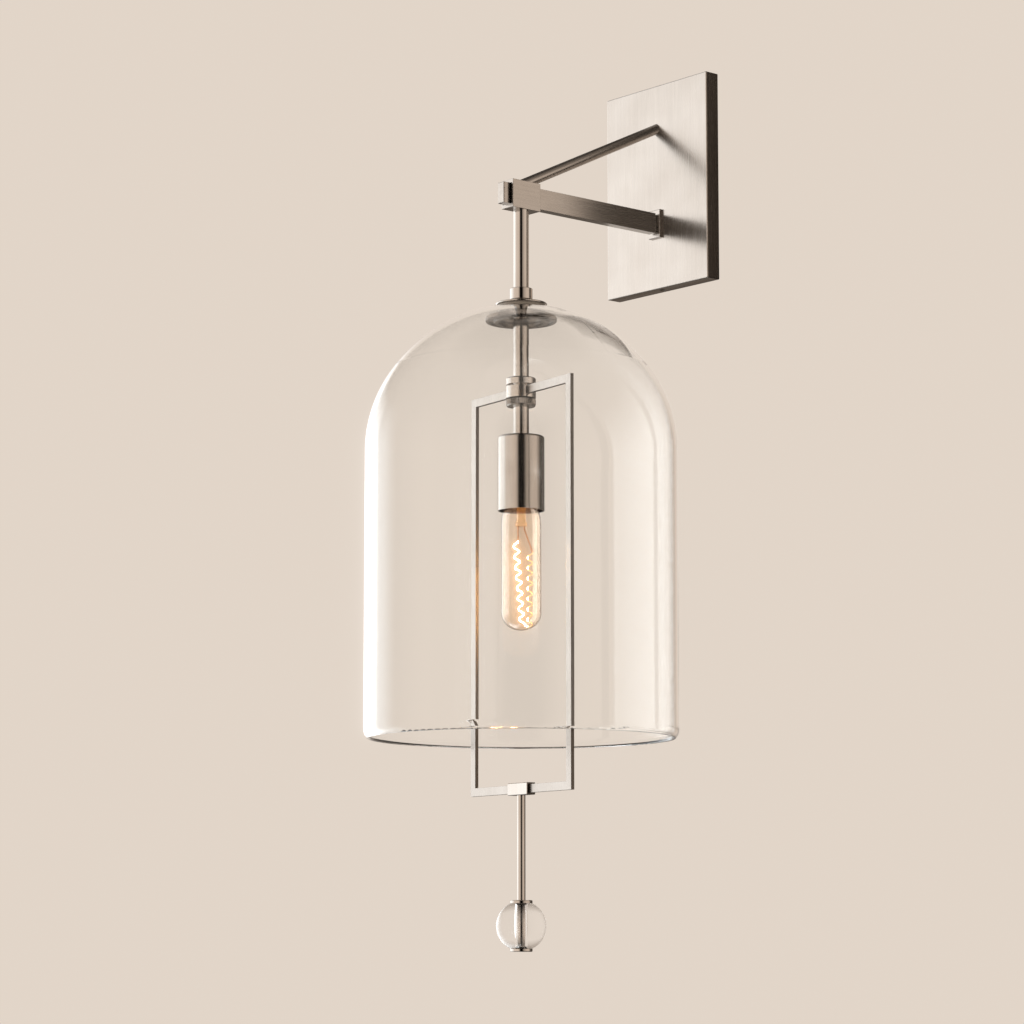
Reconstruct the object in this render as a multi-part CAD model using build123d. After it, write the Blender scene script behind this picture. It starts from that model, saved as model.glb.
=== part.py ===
from build123d import *
import os
from math import atan2, ceil, cos, degrees, pi, radians, sin, sqrt

# A wall light whose clear glass bell hangs from a bracket arm. Millimetres, +Z up.
# The origin lies on the wall, at the centre of the backplate, and the front faces -Y.
# Everything below the arm is turned about one upright line, the stem axis, which
# stands "reach" in front of the wall.

# ------------------------------------------------------------ clearances
slip_fit = 0.05          # all round a piece that is pushed or screwed in for good
run_fit = 0.05           # radial gap of a piece that turns on its shaft
turn_gap = 0.1           # end gap between a turning ring and the piece it bears on
free_gap = 0.3           # end gap between a turning piece and one that it only passes
glass_gap = 0.05         # between a gasket and the curved glass
edge_break = 0.4         # small chamfer on turned and milled metal edges
overshoot = 1.0          # how far a cutting shape runs past what it cuts

# ------------------------------------------------------------ backplate and bracket
plate_w = 116.8
plate_h = 167.4
plate_d = 13.5
sheet_t = 1.2
shadow_gap = 0.6         # the pan's rim stops short of the wall
plate_edge_r = 0.8
strap_w = 38.0
strap_t = 2.0
tab_depth = 10.0
tab_gap = 0.4            # between a bracket tab and the pan's inside
box_screw_pitch = 88.9   # the two slots fit a standard outlet box
box_slot_w = 4.8
box_slot_l = 14.0
cover_screw_r = 2.0
cover_screw_l = 6.5
cover_screw_y = 7.0      # how far the set screws stand off the wall
hex_socket_r = 1.1
hex_socket_depth = 2.0
ground_screw_z = 24.0
ground_screw_r = 2.0
ground_head_r = 4.0
ground_head_t = 2.2
driver_slot_w = 0.9
driver_slot_depth = 0.8

# ------------------------------------------------------------ arm, head and brace
reach = 157.8            # wall to the stem axis
arm_w = 7.3
arm_h = 16.3
arm_t = 1.2
arm_z = -31.0
arm_overhang = 20.7      # the arm's end, past the stem axis
arm_reveal = 1.5         # the full section stops this far in front of its cover plate
neck_inset = 1.0         # the arm's slimmer neck, set in all round
neck_wall = 1.0
end_cap_t = 1.0
end_plug_l = 5.0
wire_hole_r = 2.7
escutcheon_w = 13.2
escutcheon_h = 22.9
escutcheon_t = 2.5
anchor_w = 26.0
anchor_h = 44.0
anchor_t = 2.0
arm_tail = 1.0           # the arm's end stands this far behind its anchor plate
stud_pitch = 32.0
stud_r = 2.0
stud_l = 6.5
stud_nut_af = 7.0
stud_nut_t = 3.2
head_l = 28.2
head_w = 13.8
head_h = 21.9
head_side_t = 1.5
brace_r = 4.0
brace_wall_z = 47.8      # where the brace's centre line meets the plate
brace_foot = 3.6         # where it meets the head, behind the stem axis
brace_screw_r = 1.5
brace_screw_grip = 5.0
brace_head_r = 2.9
brace_head_t = 1.8
brace_washer_r = 4.5
brace_washer_t = 0.8

# ------------------------------------------------------------ stem above the glass
stem_r = 6.0
stem_bore_r = 5.0
nipple_bore_r = 3.25
stem_nipple_l = 15.0
upper_stem_l = 62.0
coupling_r = 8.85
coupling_l = 9.0
coupling_socket = 4.0    # how deep the upper stem sits in the coupling
hanger_up = 6.0          # how far the hanger nipple reaches above the coupling
hanger_down = 15.0       # and into the lower stem
neck_r = 7.3
neck_t = 2.7
disc_r = 20.0
disc_t = 1.5
top_gasket_r = 18.6
top_gasket_t = 0.8       # at the stem axis

# ------------------------------------------------------------ glass bell
bell_r = 120.0
bell_wall = 3.2
bell_h = 334.0           # crown to rim
bell_shoulder_inset = 14.0   # the shoulder's centre line, off the stem axis
bell_crown_extra = 3.5       # the crown's radius, past the side's
bell_hole_gap = 0.5          # round the bush in the glass's hole
rim_turn_r = 9.0
rim_turn = 45.0          # how far the rim turns in, degrees

# ------------------------------------------------------------ flange nut under the glass
low_gasket_r = 25.0
low_gasket_edge = 0.5
nut_r = 27.9
nut_t = 4.4
nut_chamfer_r = 1.8
nut_chamfer_h = 1.5
nut_web_t = 2.2
nut_ring_r = 21.4
nut_recess_r = 17.4
nut_ring_drop = 1.3
nut_groove_gap = 0.4     # between the raised ring and the groove round it
nut_groove_w = 3.4
nut_groove_depth = 0.9
nut_teeth = 96
nut_knurl = 0.55

# ------------------------------------------------------------ lower stem and swivel
lower_stem_l = 92.6
collar_r = 11.75         # stop ring, hub and lock ring share one diameter
collar_drop = 47.1       # lower stem's top to the stop ring
stop_ring_h = 5.3
stop_gap = 1.5
hub_h = 9.1
lock_ring_h = 6.2
lock_boss_r = 9.5        # the plain boss that bears the hub
lock_boss_h = 0.9
lock_lip_h = 0.9         # the plain lip under the knurl
lock_teeth = 48
lock_knurl = 0.5
stop_screw_r = 1.5
notch_w = 6.6
notch_depth = 4.2

# ------------------------------------------------------------ hanging frame
frame_w = 137.0
frame_h = 312.2
frame_sink = 0.1         # the top bar lies this far under the hub's top
frame_turn = -7.2        # the frame stands a little askew of the wall, degrees
strip_w = 6.4
strip_t = 2.9
block_l = 26.8
block_w = 7.8
block_h = 9.2
block_core = 3.0         # half the solid middle, between the two strip ends

# ------------------------------------------------------------ finial
finial_r = 3.175
finial_l = 79.0
spigot_r = 2.0
spigot_l = 6.0
ball_r = 19.0
ball_cap_r = 8.5
ball_cap_t = 2.3
ball_bore_gap = 0.1
finial_seat = 1.3        # how deep the rod sits in the lower cap

# ------------------------------------------------------------ socket
cup_r = 17.9
cup_t = 1.0
cup_l = 57.8
cup_edge_r = 2.0
socket_nipple_up = 14.0
socket_nipple_down = 7.0
locknut_af = 16.0
locknut_t = 3.0
holder_r = 16.1
holder_l = 38.0
holder_gap = 0.4         # under the locknut
holder_wire_well = 6.0
shell_r = 14.1
shell_t = 0.6
shell_l = 24.3
shell_lip = 0.4          # the shell stops short of the holder's mouth
contact_w = 5.0
contact_t = 0.6
contact_l = 9.0
contact_drop = 3.4

# ------------------------------------------------------------ lamp
bulb_r = 15.3
bulb_wall = 0.9
bulb_l = 128.4
bulb_shoulder_inset = 2.5   # the shoulder's centre line, off the stem axis
bulb_crown_extra = 2.5      # the tip's radius, past the side's
bulb_neck_l = 18.0
base_r = 13.0
base_l = 25.0
base_t = 0.5
base_ridges = 5
base_groove = 0.7
base_skirt = 5.0
base_cone_r = 9.0
base_cone_l = 2.5
tip_r = 4.2
tip_t = 0.8
mount_r = 3.5
mount_drop = 20.2        # the pinch, below the base
pinch_r = 4.6
pinch_t = 2.4
bulb_turn = 49.3         # the lamp's inner plane, degrees about the stem axis
prong_r = 0.35
filament_r = 0.32
coil_r = 1.9
coil_pitch = 8.6

# ------------------------------------------------------------ leads
lead_r = 0.9
lead_offset = 1.1        # each lead's centre from the middle of the arm and stem
lead_bend = 5.5
lead_y = 6.5             # the leads' plane behind the plate, off the wall
connector_r = 4.6
connector_tip_r = 3.2
connector_l = 18.0
connector_z = -14.0
connector_pitch = 13.0
connector_wall_gap = 9.6 # between the outer connector and the pan's side

# ------------------------------------------------------------ levels and places that follow
plate_front = -plate_d
plate_inside = plate_front + sheet_t
anchor_back = plate_inside + anchor_t
arm_back = anchor_back + arm_tail
escutcheon_front = plate_front - escutcheon_t
neck_front = escutcheon_front - arm_reveal
arm_end = -reach - arm_overhang
head_top = arm_z + head_h / 2
head_bottom = arm_z - head_h / 2
head_floor = arm_z - arm_h / 2
nipple_r = stem_bore_r - slip_fit
coupling_top = head_bottom - upper_stem_l
coupling_bottom = coupling_top - coupling_l
disc_top = coupling_bottom - neck_t
disc_bottom = disc_top - disc_t
bell_top = disc_bottom - top_gasket_t
bell_rim = bell_top - bell_h
bell_hole_r = neck_r + bell_hole_gap


def crown(side_r, inset, extra):
    """A domed end of two tangent arcs: the crown centre's drop, the turn and the rise."""
    drop = sqrt((inset + extra) ** 2 - inset**2)
    return drop, degrees(atan2(drop, inset)), side_r + extra - drop


bell_drop, bell_turn, bell_rise = crown(bell_r, bell_shoulder_inset, bell_crown_extra)
bell_crown_r = bell_r + bell_crown_extra
bell_spring = bell_top - bell_rise
bell_centre = bell_spring - bell_drop
low_gasket_bottom = (
    bell_centre + sqrt((bell_crown_r - bell_wall) ** 2 - low_gasket_r**2) - low_gasket_edge
)
nut_top = low_gasket_bottom - turn_gap
nut_bottom = nut_top - nut_t
lower_stem_top = nut_top - nut_web_t - free_gap
cup_top = lower_stem_top - lower_stem_l
stop_ring_top = lower_stem_top - collar_drop
hub_top = stop_ring_top - stop_ring_h - stop_gap
hub_bottom = hub_top - hub_h
lock_ring_top = hub_bottom - turn_gap
frame_top = hub_top - frame_sink
frame_bottom = frame_top - frame_h
notch_seat = collar_r - notch_depth
block_z = frame_bottom + strip_w / 2
block_bottom = block_z - block_h / 2
finial_top = block_bottom - turn_gap
ball_cap_top = finial_top - finial_l
ball_flat = sqrt(ball_r**2 - ball_cap_r**2)
ball_z = ball_cap_top - ball_cap_t - ball_flat
low_cap_top = ball_z - ball_flat
locknut_bottom = cup_top - cup_t - locknut_t
holder_top = locknut_bottom - holder_gap
holder_bottom = holder_top - holder_l
shell_bottom = holder_bottom + shell_lip
shell_top = shell_bottom + shell_l
bulb_top = shell_top - contact_drop - free_gap
bulb_tip = bulb_top - bulb_l
base_top = bulb_top - tip_t - base_cone_l
base_bottom = base_top - base_l
glass_neck_r = base_r - base_t - slip_fit
full_z = base_bottom - bulb_neck_l
pinch_z = base_bottom - mount_drop
connector_far = plate_w / 2 - sheet_t - connector_wall_gap - connector_r
connector_x = (connector_far - connector_pitch, connector_far)


# ============================================================ helpers
def bend(centre, radius, start, end):
    """An arc in the XZ plane about a (radius, height) centre, between two angles in degrees."""
    middle = (start + end) / 2
    points = [
        (centre[0] + radius * cos(radians(a)), 0, centre[1] + radius * sin(radians(a)))
        for a in (start, middle, end)
    ]
    return ThreePointArc(*points)


def straight(start, end):
    """A straight edge in the XZ plane between two (radius, height) points."""
    return Line((start[0], 0, start[1]), (end[0], 0, end[1]))


def spun(edges):
    """The solid that a closed outline of edges in the XZ plane sweeps about the Z axis."""
    return revolve(make_face(edges), axis=Axis.Z)


def turned(points):
    """A lathe-turned solid from the (radius, height) points of its outline."""
    outline = Polyline(*[(r, 0, z) for r, z in points], close=True)
    return revolve(make_face(outline), axis=Axis.Z)


def tube(outer_r, inner_r, bottom, top):
    """An upright tube round the Z axis."""
    return turned([(inner_r, bottom), (outer_r, bottom), (outer_r, top), (inner_r, top)])


def rod(radius, bottom, top):
    """An upright round bar on the Z axis."""
    return Pos(0, 0, (bottom + top) / 2) * Cylinder(radius, top - bottom)


def block(x, y, z):
    """A box from its (low, high) pairs along X, Y and Z."""
    size = [high - low for low, high in (x, y, z)]
    return Pos(*[(low + high) / 2 for low, high in (x, y, z)]) * Box(*size)


def peg(radius, y_low, y_high, x=0.0, z=0.0):
    """A round bar along Y."""
    return Pos(x, y_low, z) * Rot(-90, 0, 0) * rod(radius, 0, y_high - y_low)


def hex_peg(across_flats, y_low, y_high, x=0.0, z=0.0):
    """A hexagonal bar along Y."""
    flat = RegularPolygon(across_flats / 2, 6, major_radius=False)
    return Pos(x, y_low, z) * Rot(-90, 0, 0) * extrude(flat, amount=y_high - y_low)


def on_stem(shape):
    """Move a piece that was made on the Z axis to the stem axis."""
    return Pos(0, -reach, 0) * shape


def in_frame_plane(shape):
    """Turn a piece with the hanging frame, then move it to the stem axis."""
    return on_stem(Rot(0, 0, frame_turn) * shape)


def knurled(blank, radius, teeth, depth, bottom, top):
    """Cut straight V grooves all round a turned blank."""
    points = []
    for i in range(2 * teeth):
        r = radius if i % 2 == 0 else radius - depth
        angle = pi * i / teeth
        points.append((r * cos(angle), r * sin(angle)))
    star = make_face(Polyline(*points, close=True))
    return blank & (Pos(0, 0, bottom) * extrude(star, amount=top - bottom))


def biarc(p0, t0, p1, t1):
    """Two tangent arcs from point p0 along t0 to point p1 along t1."""
    v = p1 - p0
    t = t0 + t1
    slack = 2 * (1 - t0.dot(t1))
    lean = v.dot(t)
    if slack < 1e-9:
        d = v.dot(v) / (2 * lean)
    else:
        d = (-lean + sqrt(lean**2 + slack * v.dot(v))) / slack
    joint = (p0 + p1 + (t0 - t1) * d) * 0.5
    onward = (v - t * d).normalized()
    return [TangentArc(p0, joint, tangent=t0), TangentArc(joint, p1, tangent=onward)]


def swept(edges, radius, start, direction):
    """A round wire of the given radius along a path."""
    section = Plane(origin=start, z_dir=direction) * Circle(radius)
    return sweep(section, path=Wire(edges))


# ============================================================ wall side
def wall_bracket():
    """A steel strap with two bent tabs, screwed to the outlet box behind the backplate."""
    half = plate_h / 2 - sheet_t - tab_gap
    strap = block((-strap_w / 2, strap_w / 2), (-strap_t, 0), (-half, half))
    for side in (-1, 1):
        inner, outer = sorted((side * (half - strap_t), side * half))
        strap += block((-strap_w / 2, strap_w / 2), (-tab_depth, 0), (inner, outer))
        slot = SlotOverall(box_slot_l, box_slot_w, rotation=90)
        cutter = extrude(Plane.XZ.offset(-overshoot) * slot, amount=strap_t + 2 * overshoot)
        strap -= Pos(0, 0, side * box_screw_pitch / 2) * cutter
        hole = rod(cover_screw_r + slip_fit, inner - overshoot, outer + overshoot)
        strap -= Pos(0, -cover_screw_y, 0) * hole
    hole_r = ground_screw_r + slip_fit
    return strap - peg(hole_r, -strap_t - overshoot, overshoot, z=ground_screw_z)


def ground_screw():
    """The earth wire's screw, in the bracket strap."""
    shank = peg(ground_screw_r, -strap_t, -shadow_gap / 2, z=ground_screw_z)
    head = peg(ground_head_r, -strap_t - ground_head_t, -strap_t, z=ground_screw_z)
    front = -strap_t - ground_head_t
    slot = block(
        (-ground_head_r, ground_head_r),
        (front, front + driver_slot_depth),
        (ground_screw_z - driver_slot_w / 2, ground_screw_z + driver_slot_w / 2),
    )
    return shank + head - slot


def backplate():
    """The pan: a pressed sheet box, open at the wall, with two studs welded inside."""
    half_w = plate_w / 2
    half_h = plate_h / 2
    pan = block((-half_w, half_w), (plate_front, -shadow_gap), (-half_h, half_h))
    front_edges = pan.faces().sort_by(Axis.Y)[0].edges()
    upright_edges = pan.edges().filter_by(Axis.Y)
    pan = fillet(front_edges + upright_edges, plate_edge_r)
    pan -= block(
        (-half_w + sheet_t, half_w - sheet_t),
        (plate_inside, 0),
        (-half_h + sheet_t, half_h - sheet_t),
    )
    cut = (plate_front - overshoot, plate_inside + overshoot)
    pan -= arm_window(slip_fit - neck_inset, *cut)
    pan -= peg(brace_screw_r + slip_fit, *cut, z=brace_wall_z)
    for side in (-1, 1):
        low, high = sorted((side * (half_h - sheet_t - overshoot), side * (half_h + overshoot)))
        pan -= Pos(0, -cover_screw_y, 0) * rod(cover_screw_r + tab_gap, low, high)
        pan += peg(stud_r, plate_inside, plate_inside + stud_l, z=arm_z + side * stud_pitch / 2)
    return pan


def cover_screws():
    """Two socket set screws that hold the pan to the bracket's tabs, top and bottom."""
    outer = plate_h / 2 - edge_break
    screw = rod(cover_screw_r, outer - cover_screw_l, outer)
    key = extrude(RegularPolygon(hex_socket_r, 6), amount=hex_socket_depth)
    screw -= Pos(0, 0, outer - hex_socket_depth) * key
    top = Pos(0, -cover_screw_y, 0) * screw
    return [top, mirror(top, about=Plane.XY)]


# ============================================================ arm, head and brace
def arm_window(margin, y_low, y_high):
    """The space that the arm's full section takes up, with a margin all round."""
    half_w = arm_w / 2 + margin
    half_h = arm_h / 2 + margin
    return block((-half_w, half_w), (y_low, y_high), (arm_z - half_h, arm_z + half_h))


def arm_bar():
    """The flat rectangular tube that carries the lamp, with its neck and a hole for the leads."""
    bar = arm_window(0, arm_end + end_cap_t, neck_front)
    bar = chamfer(bar.faces().sort_by(Axis.Y)[-1].edges(), edge_break)
    neck = arm_window(-neck_inset, neck_front - arm_t, arm_back)
    bore = arm_window(-arm_t, arm_end, neck_front - arm_t)
    neck_bore = arm_window(-neck_inset - neck_wall, arm_end, arm_back + overshoot)
    hole = on_stem(rod(wire_hole_r, arm_z - arm_h, arm_z))
    return bar + neck - bore - neck_bore - hole


def arm_end_cap():
    """The plate that closes the arm's outer end, with its plug."""
    plate = arm_window(0, arm_end, arm_end + end_cap_t)
    plug = arm_window(-arm_t - slip_fit, arm_end + end_cap_t, arm_end + end_cap_t + end_plug_l)
    rim = plate.faces().sort_by(Axis.Y)[0].edges()
    return chamfer(rim, edge_break) + plug


def arm_escutcheon():
    """The small cover plate round the arm, against the backplate."""
    half_w = escutcheon_w / 2
    half_h = escutcheon_h / 2
    levels = (arm_z - half_h, arm_z + half_h)
    plate = block((-half_w, half_w), (escutcheon_front, plate_front), levels)
    plate = chamfer(plate.faces().sort_by(Axis.Y)[0].edges(), edge_break)
    cut = (escutcheon_front - overshoot, plate_front + overshoot)
    return plate - arm_window(slip_fit - neck_inset, *cut)


def arm_anchor():
    """The steel plate brazed round the arm's neck, inside the pan."""
    half_w = anchor_w / 2
    half_h = anchor_h / 2
    levels = (arm_z - half_h, arm_z + half_h)
    plate = block((-half_w, half_w), (plate_inside, anchor_back), levels)
    cut = (plate_inside - overshoot, anchor_back + overshoot)
    plate -= arm_window(slip_fit - neck_inset, *cut)
    for side in (-1, 1):
        plate -= peg(stud_r + slip_fit, *cut, z=arm_z + side * stud_pitch / 2)
    return plate


def anchor_nuts():
    """Two hexagon nuts that pull the anchor plate against the pan."""
    nuts = []
    nut_back = anchor_back + stud_nut_t
    for side in (-1, 1):
        z = arm_z + side * stud_pitch / 2
        nut = hex_peg(stud_nut_af, anchor_back, nut_back, z=z)
        bore = peg(stud_r + slip_fit, anchor_back - overshoot, nut_back + overshoot, z=z)
        nuts.append(nut - bore)
    return nuts


def head_sleeve():
    """The rectangular sleeve that slips over the arm and carries stem and brace."""
    half_l = head_l / 2
    half_w = head_w / 2
    sleeve = block((-half_w, half_w), (-reach - half_l, -reach + half_l), (head_bottom, head_top))
    sleeve = chamfer(sleeve.edges().filter_by(Axis.Z), edge_break / 2)
    inner = half_w - head_side_t
    sleeve -= block(
        (-inner, inner),
        (-reach - half_l - overshoot, -reach + half_l + overshoot),
        (head_floor, arm_z + arm_h / 2),
    )
    return sleeve - on_stem(rod(nipple_r + slip_fit, head_bottom - overshoot, head_floor))


def brace_direction():
    """The brace's unit direction, from the plate down to the head."""
    run = reach - brace_foot - plate_d
    return Vector(0, -run, head_top - brace_wall_z).normalized()


def brace_rod():
    """The round brace, cut flush with the plate at one end and with the head at the other."""
    direction = brace_direction()
    start = Vector(0, plate_front, brace_wall_z)
    end = Vector(0, -reach + brace_foot, head_top)
    spare = 4 * brace_r
    length = (end - start).length
    bar = Plane(origin=start, z_dir=direction) * rod(brace_r, -spare, length + spare)
    levels = (head_top, brace_wall_z + spare)
    bar = bar & block((-brace_r, brace_r), (-reach - head_l, plate_front), levels)
    grip_end = plate_front - brace_screw_grip - free_gap
    return bar - peg(brace_screw_r + slip_fit, grip_end, plate_front, z=brace_wall_z)


def brace_washer():
    """The washer under the brace screw's head, inside the pan."""
    back = plate_inside + brace_washer_t
    washer = peg(brace_washer_r, plate_inside, back, z=brace_wall_z)
    cut = (plate_inside - overshoot, back + overshoot)
    return washer - peg(brace_screw_r + slip_fit, *cut, z=brace_wall_z)


def brace_screw():
    """The screw that holds the brace, driven from inside the pan."""
    seat = plate_inside + brace_washer_t
    shank = peg(brace_screw_r, plate_front - brace_screw_grip, seat, z=brace_wall_z)
    head = peg(brace_head_r, seat, seat + brace_head_t, z=brace_wall_z)
    back = seat + brace_head_t
    slot = block(
        (-brace_head_r, brace_head_r),
        (back - driver_slot_depth, back),
        (brace_wall_z - driver_slot_w / 2, brace_wall_z + driver_slot_w / 2),
    )
    return shank + head - slot


# ============================================================ stem above the glass
def stem_nipple():
    """The hollow thread between the head's floor and the upper stem."""
    return on_stem(tube(nipple_r, nipple_bore_r, head_floor - stem_nipple_l, head_floor))


def upper_stem():
    """The tube between the head and the coupling."""
    return on_stem(tube(stem_r, stem_bore_r, coupling_top - coupling_socket, head_bottom))


def stem_coupling():
    """The collar that joins the upper stem to the hanger nipple."""
    bevel = edge_break
    socket_r = stem_r + slip_fit
    seat = coupling_top - coupling_socket
    bore = nipple_r + slip_fit
    outline = [
        (bore, coupling_bottom),
        (coupling_r - bevel, coupling_bottom),
        (coupling_r, coupling_bottom + bevel),
        (coupling_r, coupling_top - bevel),
        (coupling_r - bevel, coupling_top),
        (socket_r, coupling_top),
        (socket_r, seat),
        (bore, seat),
    ]
    return on_stem(turned(outline))


def hanger_nipple():
    """The long hollow thread that goes through the glass and holds all that hangs."""
    bottom = lower_stem_top - hanger_down
    return on_stem(tube(nipple_r, nipple_bore_r, bottom, coupling_top + hanger_up))


def neck_washer():
    """The thick washer between the coupling and the disc."""
    return on_stem(tube(neck_r, nipple_r + slip_fit, disc_top, coupling_bottom))


def glass_disc():
    """The metal disc that lies on the crown of the glass."""
    bevel = edge_break
    bore = nipple_r + slip_fit
    outline = [
        (bore, disc_bottom),
        (disc_r - bevel, disc_bottom),
        (disc_r, disc_bottom + bevel),
        (disc_r, disc_top - bevel),
        (disc_r - bevel, disc_top),
        (bore, disc_top),
    ]
    return on_stem(turned(outline))


def centring_bush():
    """The sleeve that keeps the glass central on the hanger nipple."""
    return on_stem(tube(neck_r, nipple_r + slip_fit, low_gasket_bottom, disc_bottom))


def gasket(flat, outer_r, sphere_r):
    """A soft washer with one flat face and one face that follows the crown of the glass."""
    inner_r = neck_r + slip_fit
    edge_z = bell_centre + sqrt(sphere_r**2 - outer_r**2)
    hole_z = bell_centre + sqrt(sphere_r**2 - inner_r**2)
    start = degrees(atan2(edge_z - bell_centre, outer_r))
    end = degrees(atan2(hole_z - bell_centre, inner_r))
    edges = [
        straight((inner_r, flat), (outer_r, flat)),
        straight((outer_r, flat), (outer_r, edge_z)),
        bend((0, bell_centre), sphere_r, start, end),
        straight((inner_r, hole_z), (inner_r, flat)),
    ]
    return on_stem(spun(edges))


def upper_gasket():
    """The soft washer between disc and glass."""
    return gasket(disc_bottom, top_gasket_r, bell_crown_r + glass_gap)


def lower_gasket():
    """The soft washer between glass and flange nut."""
    return gasket(low_gasket_bottom, low_gasket_r, bell_crown_r - bell_wall - glass_gap)


# ============================================================ glass bell
def glass_bell():
    """The blown bell: crown, shoulder and straight side, with the rim turned in and rounded."""
    shoulder = (bell_shoulder_inset, bell_spring)
    shoulder_r = bell_r - bell_shoulder_inset
    centre = (0, bell_centre)
    outer_crown = bell_crown_r
    inner_crown = bell_crown_r - bell_wall
    hole_top = sqrt(outer_crown**2 - bell_hole_r**2)
    hole_low = sqrt(inner_crown**2 - bell_hole_r**2)
    half_wall = bell_wall / 2
    lip_r = rim_turn_r - half_wall
    turn = radians(rim_turn)
    turn_z = bell_rim + half_wall + lip_r * sin(turn)
    turn_at = (bell_r - rim_turn_r, turn_z)
    lip_at = (turn_at[0] + lip_r * cos(turn), turn_z - lip_r * sin(turn))
    inner_r = bell_r - bell_wall
    edges = [
        bend(centre, outer_crown, degrees(atan2(hole_top, bell_hole_r)), bell_turn),
        bend(shoulder, shoulder_r, bell_turn, 0),
        straight((bell_r, bell_spring), (bell_r, turn_z)),
        bend(turn_at, rim_turn_r, 0, -rim_turn),
        bend(lip_at, half_wall, -rim_turn, -rim_turn - 180),
        bend(turn_at, rim_turn_r - bell_wall, -rim_turn, 0),
        straight((inner_r, turn_z), (inner_r, bell_spring)),
        bend(shoulder, shoulder_r - bell_wall, 0, bell_turn),
        bend(centre, inner_crown, bell_turn, degrees(atan2(hole_low, bell_hole_r))),
        straight((bell_hole_r, bell_centre + hole_low), (bell_hole_r, bell_centre + hole_top)),
    ]
    return on_stem(spun(edges))


# ============================================================ flange nut
def flange_nut():
    """The knurled nut that clamps the glass: underneath, a groove, a raised ring and a recess."""
    web = nut_top - nut_web_t
    ring = nut_bottom - nut_ring_drop
    groove_in = nut_ring_r + nut_groove_gap
    groove_out = groove_in + nut_groove_w
    groove_top = nut_bottom + nut_groove_depth
    bore = nipple_r + run_fit
    outline = [
        (bore, nut_top),
        (nut_r - nut_chamfer_r, nut_top),
        (nut_r, nut_top - nut_chamfer_h),
        (nut_r, nut_bottom + edge_break),
        (nut_r - edge_break, nut_bottom),
        (groove_out, nut_bottom),
        (groove_out, groove_top),
        (groove_in, groove_top),
        (groove_in, nut_bottom),
        (nut_ring_r, nut_bottom),
        (nut_ring_r, ring + edge_break),
        (nut_ring_r - edge_break, ring),
        (nut_recess_r, ring),
        (nut_recess_r, web),
        (bore, web),
    ]
    levels = (ring - overshoot, nut_top + overshoot)
    return on_stem(knurled(turned(outline), nut_r, nut_teeth, nut_knurl, *levels))


# ============================================================ lower stem and swivel
def lower_stem():
    """The tube between the flange nut and the socket, on which the frame swings round."""
    return on_stem(tube(stem_r, stem_bore_r, cup_top, lower_stem_top))


def stop_ring():
    """The fixed ring above the hub."""
    bottom = stop_ring_top - stop_ring_h
    bore = stem_r + slip_fit
    bevel = 2 * edge_break
    outline = [
        (bore, bottom),
        (collar_r, bottom),
        (collar_r, stop_ring_top - bevel),
        (collar_r - bevel, stop_ring_top),
        (bore, stop_ring_top),
    ]
    hole = stop_screw_path(stop_screw_r + slip_fit, collar_r)
    return on_stem(turned(outline) - hole)


def stop_screw_path(radius, reach_out):
    """A round bar from the stem outwards, towards the wall, at the stop ring's middle."""
    return peg(radius, stem_r, reach_out, z=stop_ring_top - stop_ring_h / 2)


def stop_ring_screw():
    """The set screw that holds the stop ring, on the side that faces the wall."""
    return on_stem(stop_screw_path(stop_screw_r, collar_r - edge_break))


def frame_hub():
    """The turning hub: a ring with two notches that take the ends of the frame."""
    hub = tube(collar_r, stem_r + run_fit, hub_bottom, hub_top)
    floor = frame_top - strip_w
    for side in (-1, 1):
        low, high = sorted((side * notch_seat, side * (collar_r + overshoot)))
        hub -= block((low, high), (-notch_w / 2, notch_w / 2), (floor, hub_top + overshoot))
    return in_frame_plane(hub)


def lock_ring():
    """The knurled ring under the hub: a plain boss bears the hub, a plain lip closes it below."""
    bottom = lock_ring_top - lock_ring_h
    boss_foot = lock_ring_top - lock_boss_h
    lip_top = bottom + lock_lip_h
    lip_r = collar_r - lock_knurl
    bore = stem_r + run_fit
    outline = [
        (bore, bottom),
        (lip_r - edge_break, bottom),
        (lip_r, bottom + edge_break),
        (lip_r, lip_top),
        (collar_r, lip_top + lock_knurl),
        (collar_r, boss_foot - edge_break),
        (collar_r - edge_break, boss_foot),
        (lock_boss_r, boss_foot),
        (lock_boss_r, lock_ring_top),
        (bore, lock_ring_top),
    ]
    levels = (bottom - overshoot, lock_ring_top + overshoot)
    return on_stem(knurled(turned(outline), collar_r, lock_teeth, lock_knurl, *levels))


# ============================================================ hanging frame
def frame_half(side):
    """One half of the frame: a flat strip with two square corners, hub to joining block."""
    outer = frame_w / 2
    inner = outer - strip_w
    points = [
        (notch_seat, frame_top),
        (outer, frame_top),
        (outer, frame_bottom),
        (block_core, frame_bottom),
        (block_core, frame_bottom + strip_w),
        (inner, frame_bottom + strip_w),
        (inner, frame_top - strip_w),
        (notch_seat, frame_top - strip_w),
    ]
    outline = Polyline(*[(side * x, 0, z) for x, z in points], close=True)
    return in_frame_plane(extrude(make_face(outline), amount=strip_t / 2, both=True))


def joining_block():
    """The block that holds both strip ends and the finial's spigot."""
    body = Pos(0, 0, block_z) * Box(block_l, block_w, block_h)
    body = chamfer(body.edges(), edge_break)
    half_t = strip_t / 2 + slip_fit
    half_w = strip_w / 2 + slip_fit
    for side in (-1, 1):
        low, high = sorted((side * block_core, side * (block_l / 2 + overshoot)))
        body -= block((low, high), (-half_t, half_t), (block_z - half_w, block_z + half_w))
    socket_top = block_bottom + spigot_l + free_gap
    body -= rod(spigot_r + run_fit, block_bottom - overshoot, socket_top)
    return in_frame_plane(body)


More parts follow.
